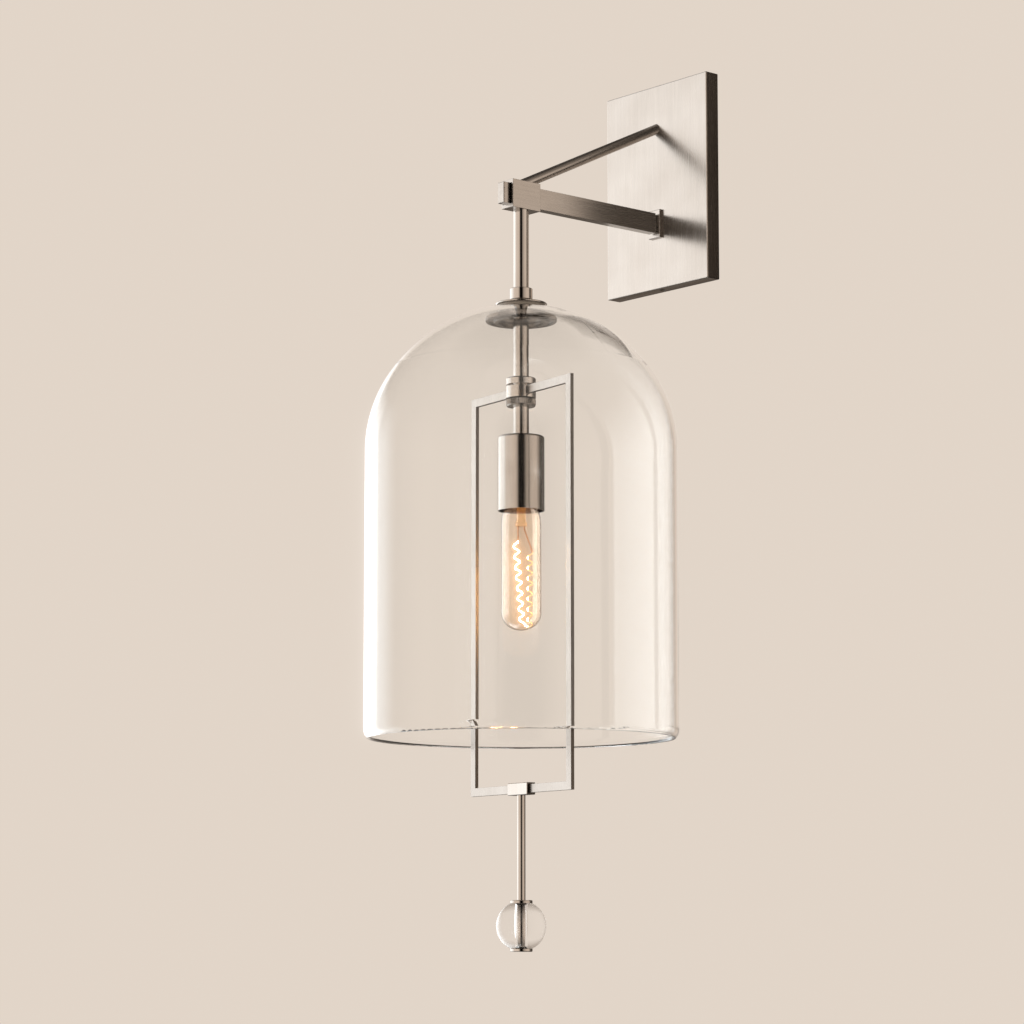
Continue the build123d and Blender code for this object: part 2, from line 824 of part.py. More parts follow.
# ============================================================ finial
def finial_rod():
    """The rod through the ball, with a spigot in the joining block."""
    bottom = low_cap_top - finial_seat
    shaft = rod(finial_r, bottom, finial_top)
    return on_stem(shaft + rod(spigot_r, finial_top, block_bottom + spigot_l))


def ball_cap_upper():
    """The washer-shaped cap on the ball's upper flat."""
    bottom = ball_cap_top - ball_cap_t
    bore = finial_r + slip_fit
    outline = [
        (bore, bottom),
        (ball_cap_r, bottom),
        (ball_cap_r, ball_cap_top - edge_break),
        (ball_cap_r - edge_break, ball_cap_top),
        (bore, ball_cap_top),
    ]
    return on_stem(turned(outline))


def ball_cap_lower():
    """The cap under the ball, screwed on the end of the rod."""
    bottom = low_cap_top - ball_cap_t
    seat = low_cap_top - finial_seat
    bore = finial_r + slip_fit
    outline = [
        (0, bottom),
        (ball_cap_r - edge_break, bottom),
        (ball_cap_r, bottom + edge_break),
        (ball_cap_r, low_cap_top),
        (bore, low_cap_top),
        (bore, seat),
        (0, seat),
    ]
    return on_stem(turned(outline))


def crystal_ball():
    """The clear ball, bored for the rod and ground flat under each cap."""
    bore = finial_r + ball_bore_gap
    flat_angle = degrees(atan2(ball_flat, ball_cap_r))
    edges = [
        bend((0, ball_z), ball_r, -flat_angle, flat_angle),
        straight((ball_cap_r, ball_z + ball_flat), (bore, ball_z + ball_flat)),
        straight((bore, ball_z + ball_flat), (bore, ball_z - ball_flat)),
        straight((bore, ball_z - ball_flat), (ball_cap_r, ball_z - ball_flat)),
    ]
    return on_stem(spun(edges))


# ============================================================ socket
def socket_cup():
    """The plain cylindrical cover over the lampholder, open at the bottom."""
    bottom = cup_top - cup_l
    bore = nipple_r + slip_fit
    inner_r = cup_r - cup_t
    roof = cup_top - cup_t
    corner = (cup_r - cup_edge_r, cup_top - cup_edge_r)
    inner_edge_r = cup_edge_r - cup_t
    edges = [
        straight((bore, cup_top), (cup_r - cup_edge_r, cup_top)),
        bend(corner, cup_edge_r, 90, 0),
        straight((cup_r, cup_top - cup_edge_r), (cup_r, bottom)),
        straight((cup_r, bottom), (inner_r, bottom)),
        straight((inner_r, bottom), (inner_r, cup_top - cup_edge_r)),
        bend(corner, inner_edge_r, 0, 90),
        straight((cup_r - cup_edge_r, roof), (bore, roof)),
        straight((bore, roof), (bore, cup_top)),
    ]
    return on_stem(spun(edges))


def socket_nipple():
    """The short hollow thread between the lower stem and the socket."""
    bottom = cup_top - socket_nipple_down
    return on_stem(tube(nipple_r, nipple_bore_r, bottom, cup_top + socket_nipple_up))


def socket_locknut():
    """The hexagon nut that holds the cup to its nipple."""
    nut = extrude(RegularPolygon(locknut_af / 2, 6, major_radius=False), amount=locknut_t)
    nut = Pos(0, 0, locknut_bottom) * nut
    return on_stem(nut - rod(nipple_r + slip_fit, locknut_bottom - overshoot, cup_top))


def lampholder():
    """The ceramic body: a well for the nipple and leads above, a cavity for the lamp below."""
    cavity_r = shell_r + slip_fit
    well_bottom = holder_top - holder_wire_well
    well_r = nipple_r + slip_fit
    outline = [
        (0, well_bottom),
        (well_r, well_bottom),
        (well_r, holder_top),
        (holder_r - edge_break, holder_top),
        (holder_r, holder_top - edge_break),
        (holder_r, holder_bottom),
        (cavity_r, holder_bottom),
        (cavity_r, shell_top),
        (0, shell_top),
    ]
    return on_stem(turned(outline))


def screw_shell():
    """The brass shell that the lamp's base screws into."""
    return on_stem(tube(shell_r, shell_r - shell_t, shell_bottom, shell_top - contact_t))


def centre_contact():
    """The sprung brass strip in the cavity's roof that feeds the lamp's tip."""
    high = shell_top - contact_t / 2
    low = shell_top - contact_drop + contact_t / 2
    third = contact_l / 3
    points = [(contact_l, high), (third, high), (0, low), (-third, low)]
    path = FilletPolyline(*[(x, 0, z) for x, z in points], radius=contact_drop / 3)
    start = Plane(origin=(contact_l, 0, high), z_dir=(-1, 0, 0))
    strip = sweep(start * Rectangle(contact_t, contact_w), path=path)
    return on_stem(Pos(contact_l / 6, 0, 0) * strip)


# ============================================================ lamp
def envelope(margin, top):
    """The outline of the lamp's glass, a margin inside its outer face, from neck to tip."""
    neck = glass_neck_r - margin
    side_r = bulb_r - margin
    drop, turn, rise = crown(side_r, bulb_shoulder_inset, bulb_crown_extra)
    spring = bulb_tip + margin + rise
    shoulder = (bulb_shoulder_inset, spring)
    middle = ((neck + side_r) / 2, 0, (base_bottom + full_z) / 2)
    return [
        straight((neck, top), (neck, base_bottom)),
        TangentArc((neck, 0, base_bottom), middle, tangent=(0, 0, -1)),
        TangentArc((side_r, 0, full_z), middle, tangent=(0, 0, 1)),
        straight((side_r, full_z), (side_r, spring)),
        bend(shoulder, side_r - bulb_shoulder_inset, 0, -turn),
        bend((0, spring + drop), side_r + bulb_crown_extra, -turn, -90),
    ]


def bulb_glass():
    """The tubular lamp's glass, blown thin and closed at the tip."""
    top = base_bottom + base_skirt
    outer = envelope(0, top)
    inner = envelope(bulb_wall, top)
    ends = [
        straight((glass_neck_r, top), (glass_neck_r - bulb_wall, top)),
        straight((0, bulb_tip), (0, bulb_tip + bulb_wall)),
    ]
    return on_stem(spun(outer + inner + ends))


def bulb_base():
    """The lamp's metal base: a plain skirt, rolled ridges and a closed shoulder."""
    ridge_top = base_top - base_t
    ridge_l = (ridge_top - base_bottom - base_skirt) / base_ridges
    outer = [(base_r, base_bottom), (base_r, base_bottom + base_skirt)]
    for i in range(base_ridges):
        foot = base_bottom + base_skirt + i * ridge_l
        outer.append((base_r - base_groove, foot + ridge_l / 2))
        outer.append((base_r, foot + ridge_l))
    inner = [(r - base_t, z) for r, z in reversed(outer)]
    close = [(base_r - base_groove, base_top), (base_cone_r, base_top), (base_cone_r, ridge_top)]
    return on_stem(turned(outer + close + inner))


def base_insulator():
    """The dark glass cone between the base and the tip contact."""
    outline = [
        (tip_r, base_top),
        (base_cone_r, base_top),
        (tip_r + edge_break, base_top + base_cone_l),
        (tip_r, base_top + base_cone_l),
    ]
    return on_stem(turned(outline))


def base_contact():
    """The solder tip in the middle of the insulator."""
    outline = [
        (0, base_top),
        (tip_r - slip_fit, base_top),
        (tip_r - slip_fit, bulb_top - tip_t / 2),
        (tip_r / 2, bulb_top),
        (0, bulb_top),
    ]
    return on_stem(turned(outline))


def bulb_mount():
    """The glass stem inside the lamp, flared to the neck and pinched round its wires."""
    top = base_bottom + base_skirt
    flare_r = glass_neck_r - bulb_wall - glass_gap
    outline = [
        (0, pinch_z),
        (pinch_r, pinch_z),
        (pinch_r, pinch_z + pinch_t),
        (mount_r, pinch_z + 2 * pinch_t),
        (mount_r, top - flare_r + mount_r),
        (flare_r, top),
        (0, top),
    ]
    return on_stem(turned(outline))


# The wires and the filament lie in one upright plane of the lamp. Each place is given
# as its offset across the lamp and its drop below the glass stem's pinch.
left_hook = (-4.2, 11.4)
right_hook = (6.8, 20.2)
left_foot = (0.8, 75.4)
right_foot = (6.6, 75.4)
prong_spread = 2.4
prong_knee = 6.0


def lamp_point(place, out=0.0):
    """A point in the lamp's inner plane, or beside it by a given distance."""
    across, drop = place
    turn = radians(bulb_turn)
    x = across * cos(turn) - out * sin(turn)
    y = across * sin(turn) + out * cos(turn)
    return Vector(x, y - reach, pinch_z - drop)


def prong(side, hook, foot):
    """One wire from the pinch down to its end of the filament."""
    start = lamp_point((side * prong_spread, 0))
    knee = lamp_point((side * prong_spread, prong_knee / 3))
    wire_start = coil_points(hook, foot, 1)[0][0]
    end = wire_start + Vector(0, 0, filament_r + slip_fit)
    path = FilletPolyline(start, knee, end, radius=prong_knee / 3)
    return sweep(Plane(origin=start, z_dir=(0, 0, -1)) * Circle(prong_r), path=path)


def prong_wires():
    """The two support wires in the pinch."""
    return [prong(-1, left_hook, left_foot), prong(1, right_hook, right_foot)]


def coil_points(top, foot, turns):
    """Half-turn points and directions of a coil wound down from one place to another."""
    start = lamp_point(top)
    axis = (lamp_point(foot) - start).normalized()
    length = (lamp_point(foot) - start).length
    side = (lamp_point((1, 0)) - lamp_point((0, 0))).normalized()
    side = (side - axis * side.dot(axis)).normalized()
    other = axis.cross(side)
    climb = length / (2 * turns)
    points = []
    for i in range(2 * turns + 1):
        swing = side * (1 if i % 2 == 0 else -1)
        heading = (other * (1 if i % 2 == 0 else -1) * pi * coil_r + axis * climb).normalized()
        points.append((start + axis * (climb * i) + swing * coil_r, heading))
    return points


def filament():
    """One fine wire, coiled down one leg and up the other, hooked over between them."""
    turns = ceil((left_foot[1] - left_hook[1]) / coil_pitch)
    down = coil_points(left_hook, left_foot, turns)
    up = [(p, h * -1) for p, h in reversed(coil_points(right_hook, right_foot, turns - 1))]
    route = down + up
    edges = []
    for (p0, t0), (p1, t1) in zip(route, route[1:]):
        edges += biarc(p0, t0, p1, t1)
    print("filament: turns", 2 * turns - 1, "gap between turns", round(least_gap(edges), 2))
    return swept(edges, filament_r, route[0][0], route[0][1])


def least_gap(edges):
    """The least distance between stretches of the wire that aren't neighbours, less its width."""
    points = [(i, edge.position_at(u)) for i, edge in enumerate(edges) for u in (0.0, 0.5)]
    gaps = [(p - q).length for i, p in points for j, q in points if j > i + 3]
    return min(gaps) - 2 * filament_r


# ============================================================ leads
def lead(offset, x):
    """One insulated lead: up the stem, back along the arm, aside and up to its connector."""
    y = -reach - offset
    z = arm_z + offset
    points = [
        (0, y, holder_top - holder_wire_well + lead_offset),
        (0, y, z),
        (0, -lead_y, z),
        (-x, -lead_y, z),
        (-x, -lead_y, connector_z),
    ]
    path = FilletPolyline(*points, radius=lead_bend)
    body = sweep(Plane(origin=points[0], z_dir=(0, 0, 1)) * Circle(lead_r), path=path)
    fullness = body.volume / (pi * lead_r**2 * path.length)
    print("lead: bends", lead_bend, "volume over section times length", round(fullness, 4))
    return body


def connectors():
    """The two twist-on connectors that join the leads to the house wires."""
    outline = [
        (0, 0),
        (connector_r, 0),
        (connector_r, connector_l / 3),
        (connector_tip_r, connector_l),
        (0, connector_l),
    ]
    return [Pos(-x, -lead_y, connector_z) * turned(outline) for x in connector_x]


# ============================================================ the whole object
pieces = {
    "wall_bracket": wall_bracket,
    "ground_screw": ground_screw,
    "backplate": backplate,
    "cover_screws": cover_screws,
    "arm_bar": arm_bar,
    "arm_end_cap": arm_end_cap,
    "arm_escutcheon": arm_escutcheon,
    "arm_anchor": arm_anchor,
    "anchor_nuts": anchor_nuts,
    "head_sleeve": head_sleeve,
    "brace_rod": brace_rod,
    "brace_washer": brace_washer,
    "brace_screw": brace_screw,
    "stem_nipple": stem_nipple,
    "upper_stem": upper_stem,
    "stem_coupling": stem_coupling,
    "hanger_nipple": hanger_nipple,
    "neck_washer": neck_washer,
    "glass_disc": glass_disc,
    "centring_bush": centring_bush,
    "upper_gasket": upper_gasket,
    "lower_gasket": lower_gasket,
    "glass_bell": glass_bell,
    "flange_nut": flange_nut,
    "lower_stem": lower_stem,
    "stop_ring": stop_ring,
    "stop_ring_screw": stop_ring_screw,
    "frame_hub": frame_hub,
    "lock_ring": lock_ring,
    "frame_right": lambda: frame_half(1),
    "frame_left": lambda: frame_half(-1),
    "joining_block": joining_block,
    "finial_rod": finial_rod,
    "ball_cap_upper": ball_cap_upper,
    "ball_cap_lower": ball_cap_lower,
    "crystal_ball": crystal_ball,
    "socket_cup": socket_cup,
    "socket_nipple": socket_nipple,
    "socket_locknut": socket_locknut,
    "lampholder": lampholder,
    "screw_shell": screw_shell,
    "centre_contact": centre_contact,
    "bulb_glass": bulb_glass,
    "bulb_base": bulb_base,
    "base_insulator": base_insulator,
    "base_contact": base_contact,
    "bulb_mount": bulb_mount,
    "prong_wires": prong_wires,
    "filament": filament,
    "lead_live": lambda: lead(lead_offset, connector_x[0]),
    "lead_neutral": lambda: lead(-lead_offset, connector_x[1]),
    "connectors": connectors,
}


def as_solids(shape):
    """The separate solids of a piece, or of a group of like pieces."""
    shapes = shape if isinstance(shape, list) else [shape]
    return [solid for item in shapes for solid in item.solids()]


os.makedirs("parts", exist_ok=True)
for name, make in pieces.items():
    solids = as_solids(make())
    body = solids[0] if len(solids) == 1 else Compound(solids)
    export_step(body, f"parts/{name}.step")
print("pieces", len(pieces))
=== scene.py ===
# %% [markdown]
# # Dressing a wall light: a clear bell on a brushed nickel arm
# The solids of this light were drawn in CAD and packed as a frame of named nodes. This lesson
# leaves every solid where it is and gives each one the finish of the real piece: brushed plate,
# polished tube, blown glass, crystal, a lit lamp. After that it lights them as a studio would.
# The frame is loaded before anything else, because every place and size below is asked of it.

# %% Load the frame
from math import cos, pi, radians, sin

import bpy
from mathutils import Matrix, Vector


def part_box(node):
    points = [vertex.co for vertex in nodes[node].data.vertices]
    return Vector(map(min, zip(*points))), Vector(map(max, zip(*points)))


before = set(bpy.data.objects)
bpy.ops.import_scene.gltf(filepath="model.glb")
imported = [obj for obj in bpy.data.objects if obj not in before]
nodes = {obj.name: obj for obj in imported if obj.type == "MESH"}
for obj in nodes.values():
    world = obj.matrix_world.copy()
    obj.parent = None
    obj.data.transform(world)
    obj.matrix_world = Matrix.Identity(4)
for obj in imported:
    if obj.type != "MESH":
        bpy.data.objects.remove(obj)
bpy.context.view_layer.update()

print("nodes in the frame:", len(nodes))

# %% [markdown]
# ## A bench for making finishes
# A finish is a graph of shader nodes. It could be clicked together in the node editor, or typed
# out node by node, but then each graph is a page of almost the same lines. Three small helpers do
# the work here: one makes a material with its shader, one adds a node with its values and its
# joins, and one fills a socket with either a plain value or another node's output.

# %% Helpers that fetch and join nodes
def new_finish(name):
    """A material with one plain shader, and its node tree."""
    material = bpy.data.materials.new(name)
    material.use_nodes = True
    tree = material.node_tree
    return material, tree, tree.nodes["Principled BSDF"]


def add(tree, kind, values=None, **joins):
    """Add a node, set its plain values, and join its inputs to the outputs given by name."""
    node = tree.nodes.new(kind)
    for key, value in (values or {}).items():
        if key in node.inputs:
            node.inputs[key].default_value = value
        else:
            setattr(node, key, value)
    for key, output in joins.items():
        tree.links.new(output, node.inputs[key.replace("_", " ")])
    return node


def feed(tree, socket, value):
    """Join an output to a socket, or set the socket to a plain value."""
    if isinstance(value, bpy.types.NodeSocket):
        tree.links.new(value, socket)
    else:
        socket.default_value = value


print("helpers for nodes:", new_finish.__name__, add.__name__, feed.__name__)

# %% [markdown]
# ## Arithmetic with nodes
# Noise, angles and heights all leave a node as plain numbers. Most of a finish is a matter of
# stretching such a number to the range that is wanted, and of blending two tones by it. Blender
# has one node for each: Math, Map Range and Mix. Each gets its own helper here, so that a graph
# can be written like a sum.

# %% Helpers that reckon and blend
def reckon(tree, operation, first, second=0.0):
    """One step of arithmetic on outputs or plain numbers."""
    node = add(tree, "ShaderNodeMath", {"operation": operation})
    feed(tree, node.inputs[0], first)
    feed(tree, node.inputs[1], second)
    return node.outputs[0]


def mixed(tree, share, first, second, blend="MIX"):
    """A blend of two colours, each an output or a plain colour."""
    node = add(tree, "ShaderNodeMix", {"data_type": "RGBA", "blend_type": blend})
    feed(tree, node.inputs[0], share)
    feed(tree, node.inputs[6], first)
    feed(tree, node.inputs[7], second)
    return node.outputs[2]


def spread(tree, value, low, high, to_low, to_high):
    """A value's range, moved and stretched to another one, and held inside it."""
    limits = {"From Min": low, "From Max": high, "To Min": to_low, "To Max": to_high}
    return add(tree, "ShaderNodeMapRange", limits, Value=value).outputs[0]


print("helpers for sums:", reckon.__name__, mixed.__name__, spread.__name__)

# %% [markdown]
# ## Colours, and how a finish gets on its piece
# A colour read off a screen isn't an amount of light: half grey on a screen is only about a fifth
# of the light of white. rgb() undoes that curve, so that colours can be given as they look.
# A node of the frame comes with a plain material from the CAD model. dress() empties the node's
# slots before it puts the new finish in, and never touches the mesh.

# %% Helpers for colours and for dressing
def rgb(red, green, blue):
    """A colour given as it looks on a screen, 0 to 255, turned into the light it stands for."""
    return tuple((v / 255) ** 2.2 for v in (red, green, blue)) + (1.0,)


def shaded(colour, factor):
    """A colour made darker or lighter, its alpha kept."""
    return tuple(min(1.0, c * factor) for c in colour[:3]) + (1.0,)


def dress(material, *names):
    """Put a material on nodes of the frame, in every slot they have."""
    for name in names:
        slots = nodes[name].data.materials
        slots.clear()
        slots.append(material)
    print(material.name, "->", ", ".join(names))


print("half grey on a screen, as light:", round(rgb(128, 128, 128)[0], 3))

# %% [markdown]
# ## The grain of brushed nickel
# Satin nickel is polished steel or brass that was stroked with a fine abrasive and then plated.
# Every scratch runs the way the belt went: up the backplate and the stem, and along the arm. The
# scratches could be painted as an image, but an image would have to be wrapped round each piece.
# A scratch is far longer than it is wide, so plain noise does as well, squeezed hard across the
# grain and stretched along it. It is laid out in object space. A node of the frame has its origin
# at the frame's own origin, so object space is simply the drawing's space in metres, and the
# pattern stays on its piece when the piece turns.

# %% Sizes of the grain
GRAIN_WIDTH = 0.00035     # metres across one scratch
GRAIN_LENGTH = 0.05       # metres along it
STREAK_WIDTH = 0.0025     # metres across a group of scratches
NOISE_LOW = 0.3           # Blender's noise seldom goes below this,
NOISE_HIGH = 0.7          # and seldom above this


def grain_noise(tree, place, grain, width, detail, roughness=0.5):
    """Noise squeezed to one width across the grain, and stretched along it."""
    scale = [1 / width] * 3
    scale["XYZ".index(grain)] = 1 / GRAIN_LENGTH
    squeezed = add(tree, "ShaderNodeMapping", {"Scale": scale}, Vector=place.outputs["Object"])
    settings = {"Scale": 1.0, "Detail": detail, "Roughness": roughness}
    return add(tree, "ShaderNodeTexNoise", settings, Vector=squeezed.outputs[0]).outputs["Fac"]


print("a scratch is", round(GRAIN_LENGTH / GRAIN_WIDTH), "times as long as it is wide")

# %% [markdown]
# ## Dark sides and dark grooves
# Two things make the metal look solid in the photograph, and both are painted shade. The narrow
# sides of the plate, of the frame's strips and of the block are painted darker than their fronts,
# standing in for the dark room that they mirror, and the strips' sides are also made rougher. And a
# narrow groove, such as the one between two teeth of a knurl, gets hardly any light, so shade is
# painted into its colour. The first is a question of which way the surface faces, so it is asked of
# the normal, in object space. The second is asked of the Ambient Occlusion node, which feels how
# much room there is round a point. A short reach finds the grooves of a knurl. A long one that
# feels only its own piece finds the deep inside of the lamp's cup, whose painted shade is tinted
# brown as painted light from the hot wire.

# %% Helpers for sides and grooves
FRONT_FACES = 0.75        # a normal's share straight forwards, from which a face is a front
SIDE_FACES = 0.5          # and below which it is a side
# the tint of the painted shade on side faces
SIDE_SHADE_TINT = (1, 0.95, 0.9)
CLOSED_IN = 0.55          # the share of open room from which a place is fully dark
OPEN = 0.95               # and the share from which it is not dark at all
LONG_REACH = 0.01         # metres; a longer reach feels only its own piece


def side_share(tree, place):
    """0 where the surface faces forwards or backwards, and 1 where it faces sideways."""
    facing = add(tree, "ShaderNodeSeparateXYZ", Vector=place.outputs["Normal"]).outputs["Y"]
    return spread(tree, reckon(tree, "ABSOLUTE", facing), FRONT_FACES, SIDE_FACES, 0, 1)


def groove_share(tree, reach, depth):
    """0 in the open, and up to depth where other surfaces are close round the point."""
    settings = {"Distance": reach, "samples": 8, "only_local": reach > LONG_REACH}
    room_round = add(tree, "ShaderNodeAmbientOcclusion", settings).outputs["AO"]
    return spread(tree, room_round, CLOSED_IN, OPEN, depth, 0)


print("a face is all side once its normal's share forwards is under", SIDE_FACES)

# %% [markdown]
# ## The tone of brushed nickel
# Three noises change the tone, from fine to coarse: the scratches themselves, the streaks that a
# group of scratches makes, and slow clouds, as any hand-finished plate has. One noise with more
# detail would be simpler, but its streaks would all be as thin as the scratches. The first noise
# blends two tones of the metal. The other two only darken it a little, so they multiply.

# %% Three layers of tone
CLOUD_SCALE = 28.0        # clouds to the metre
CLOUD_LOW = 0.35          # closer limits, so the clouds have clear edges
CLOUD_HIGH = 0.65
CLOUD_TINT = (0.93, 0.92, 0.91, 1)


def layered_tone(tree, place, grain, scratches, colour, contrast):
    """A metal's colour, varied by its scratches, by streaks and by clouds."""
    streaks = grain_noise(tree, place, grain, STREAK_WIDTH, 2.0)
    clouds = add(tree, "ShaderNodeTexNoise", {"Scale": CLOUD_SCALE, "Detail": 2.0},
                 Vector=place.outputs["Object"]).outputs["Fac"]
    darker = shaded(colour, 1 - contrast)
    paler = shaded(colour, 1 + contrast)
    streak_tint = shaded((1, 1, 1), 1 - contrast)
    fine = spread(tree, scratches, NOISE_LOW, NOISE_HIGH, 0, 1)
    wide = spread(tree, streaks, NOISE_LOW, NOISE_HIGH, 0, 1)
    slow = spread(tree, clouds, CLOUD_LOW, CLOUD_HIGH, 0, 1)
    tone = mixed(tree, fine, darker, paler)
    tone = mixed(tree, wide, tone, streak_tint, "MULTIPLY")
    return mixed(tree, slow, tone, CLOUD_TINT, "MULTIPLY")


print("a cloud of tone is about", round(1000 / CLOUD_SCALE), "mm across")

# %% [markdown]
# ## The brushed finish itself
# The scratches also drive the roughness and the bump, so light catches on them from any side. The
# Bevel node rounds the edges in the shading alone, which gives each edge the thin bright line of a
# buffed corner and leaves the mesh as it is. Anisotropy, here called pull, draws highlights out
# across the grain. Only the brushed pieces have it, as the turned ones are nearly polished.

# %% A recipe for brushed metal
EDGE_ROUND = 0.0003       # metres by which the buffed edges look rounded
SMOOTHEST = 0.85          # of the given roughness, between scratches
ROUGHEST = 1.2            # of the given roughness, in a scratch
SCRATCH_BUMP = 0.35       # how strongly the scratches tilt the surface


def brushed(name, colour, grain, roughness, depth=0.00002, contrast=0.10, pull=0.5, side_shade=1.0,
            side_rough=0.0, groove_shade=0.0, nook_size=0.0012, groove_shade_tone=(0, 0, 0, 1)):
    """Metal with scratches along one axis; its side faces and its grooves can get painted shade."""
    material, tree, shader = new_finish(name)
    place = add(tree, "ShaderNodeTexCoord")
    scratches = grain_noise(tree, place, grain, GRAIN_WIDTH, 3.0, 0.6)
    tone = layered_tone(tree, place, grain, scratches, colour, contrast)
    rough = spread(tree, scratches, NOISE_LOW, NOISE_HIGH, roughness * SMOOTHEST,
                   roughness * ROUGHEST)
    if side_shade < 1.0:
        side = side_share(tree, place)
        # painted shade: the side faces are made darker than the fronts
        tone = mixed(tree, side, tone, shaded(SIDE_SHADE_TINT, side_shade), "MULTIPLY")
        rough = reckon(tree, "ADD", rough, reckon(tree, "MULTIPLY", side, side_rough))
    if groove_shade:
        # painted shade: the tone is darkened where other surfaces are close round the point
        tone = mixed(tree, groove_share(tree, nook_size, groove_shade), tone, groove_shade_tone)
    feed(tree, shader.inputs["Base Color"], tone)
    feed(tree, shader.inputs["Roughness"], rough)
    rounded = add(tree, "ShaderNodeBevel", {"Radius": EDGE_ROUND})
    bump = add(tree, "ShaderNodeBump", {"Strength": SCRATCH_BUMP, "Distance": depth},
               Height=scratches, Normal=rounded.outputs[0])
    feed(tree, shader.inputs["Normal"], bump.outputs[0])
    shader.inputs["Metallic"].default_value = 1.0
    if pull:
        round_grain = add(tree, "ShaderNodeTangent", {"direction_type": "RADIAL", "axis": grain})
        feed(tree, shader.inputs["Tangent"], round_grain.outputs[0])
        shader.inputs["Anisotropic"].default_value = pull
    return material


print("edges look rounded by", EDGE_ROUND * 1000, "mm")

# %% [markdown]
# ## Flat nickel: plate, arm, frame and block
# All the metal that shows is one nickel. What differs from piece to piece is the way of the grain,
# how rough it was left and how much painted shade darkens its sides. The plate is brushed upwards
# and the arm along its length. The strips of the frame are the roughest, and their nickel is
# painted a little darker all over as painted shade. The small joining block is almost polished,
# with sides painted nearly black as painted shade.

# %% Finishes of the flat pieces
NICKEL = (0.66, 0.63, 0.60, 1.0)
# the plate's sides get a little painted shade
plate_nickel = brushed("nickel_grain_up", NICKEL, "Z", 0.24, contrast=0.04, side_shade=0.8)
arm_nickel = brushed("nickel_grain_along", NICKEL, "Y", 0.27, contrast=0.09)
# the strips: a darker copy of the nickel, as painted shade
strip_nickel = brushed("nickel_strip", shaded(NICKEL, 0.88), "Z", 0.30, contrast=0.05, side_shade=0.45,
                       side_rough=0.3)
# the block's sides are painted nearly black, as painted shade
block_nickel = brushed("nickel_block", NICKEL, "Z", 0.16, contrast=0.05, side_shade=0.12)

dress(plate_nickel, "backplate", "arm_escutcheon")
dress(arm_nickel, "arm_bar", "arm_end_cap", "head_sleeve", "brace_rod")
dress(strip_nickel, "frame_right", "frame_left")
dress(block_nickel, "joining_block")

# %% [markdown]
# ## Round nickel: stems, caps, knurled rings and the cup
# The turned pieces are nearly polished, so their roughness is low and their scratches are very
# shallow. The flange nut and the lock ring have knurled edges. The teeth are real geometry, and
# the dark grooves between them are painted shade from the helper above. The two rings are also
# painted darker all over, as painted shade for the light that fine teeth swallow, more than the
# grooves alone can show.

# %% Finishes of the round pieces
POLISHED_DEPTH = 0.000002     # metres from the top to the foot of a scratch
KNURL_DEPTH = 0.000004
CUP_DEPTH = 0.03              # metres; the reach that finds the inside of the cup
# painted shade inside the cup, tinted brown as painted light from the hot wire
CUP_SHADE_AND_GLOW = (0.22, 0.07, 0.02, 1)
turned_nickel = brushed("nickel_turned", NICKEL, "Z", 0.09, depth=POLISHED_DEPTH, contrast=0.05,
                        pull=0.0)
# knurled rings: a darker copy of the nickel, painted shade for the light that fine teeth swallow
knurled_nickel = brushed("nickel_knurled", shaded(NICKEL, 0.66), "Z", 0.12, depth=KNURL_DEPTH,
                         contrast=0.05, pull=0.0, groove_shade=0.95)
cup_nickel = brushed("nickel_cup", NICKEL, "Z", 0.09, depth=POLISHED_DEPTH, contrast=0.05,
                     pull=0.0, groove_shade=0.9, nook_size=CUP_DEPTH, groove_shade_tone=CUP_SHADE_AND_GLOW)

dress(turned_nickel, "upper_stem", "stem_coupling", "neck_washer", "glass_disc", "lower_stem",
      "finial_rod", "ball_cap_upper", "ball_cap_lower", "centring_bush", "stop_ring", "frame_hub")
dress(knurled_nickel, "flange_nut", "lock_ring")
dress(cup_nickel, "socket_cup")

# %% [markdown]
# ## Blown glass and crystal
# The bell is blown glass about three millimetres thick. It could be a single skin with a thin
# glass trick in its shader, but then the rim would have no body. It is a real wall here, with an
# outer and an inner face, so the shader needs no tricks: full transmission, glass's own index of
# refraction and no roughness. Blown glass is never quite even, so a broad and very shallow ripple
# bends what is seen through it. The ball is cut and polished crystal, and its index is higher.

# %% A recipe for glass
SODA_GLASS = 1.45         # index of refraction of the bell and the lamp
CRYSTAL_GLASS = 1.52      # and of the ball and the lamp's stem
RIPPLE_BUMP = 0.5         # how strongly a ripple bends what is seen through it


def glass(name, tint, index, ripple_size=0.0, ripple_depth=0.0):
    """Clear glass, with an optional slow ripple in its faces."""
    material, tree, shader = new_finish(name)
    shader.inputs["Base Color"].default_value = tint
    shader.inputs["Transmission Weight"].default_value = 1.0
    shader.inputs["IOR"].default_value = index
    shader.inputs["Roughness"].default_value = 0.0
    if ripple_depth:
        place = add(tree, "ShaderNodeTexCoord").outputs["Object"]
        ripple = add(tree, "ShaderNodeTexNoise", {"Scale": 1 / ripple_size, "Detail": 1.0},
                     Vector=place)
        bump = add(tree, "ShaderNodeBump", {"Strength": RIPPLE_BUMP, "Distance": ripple_depth},
                   Height=ripple.outputs["Fac"])
        tree.links.new(bump.outputs[0], shader.inputs["Normal"])
    return material


bell_glass = glass("bell_glass", (0.99, 0.99, 0.985, 1), SODA_GLASS, 0.15, 0.00008)
crystal = glass("crystal", (0.99, 0.99, 0.99, 1), CRYSTAL_GLASS)
dress(bell_glass, "glass_bell")
dress(crystal, "crystal_ball")

# %% [markdown]
# ## The lamp's glass
# The lamp's tube is thin glass with a slight brown tint. Right beside the hot wire, glass scatters
# a little of its light. That haze could be a volume of fog, which is slow and noisy, so both glass
# pieces give off a faint orange light of their own. A sharp clear coat adds the crisp white lines
# along the tube's edges. Clear glass throws hardly any shadow, and a renderer that leaves out
# caustics would give it a black one, so the four glass pieces throw none.

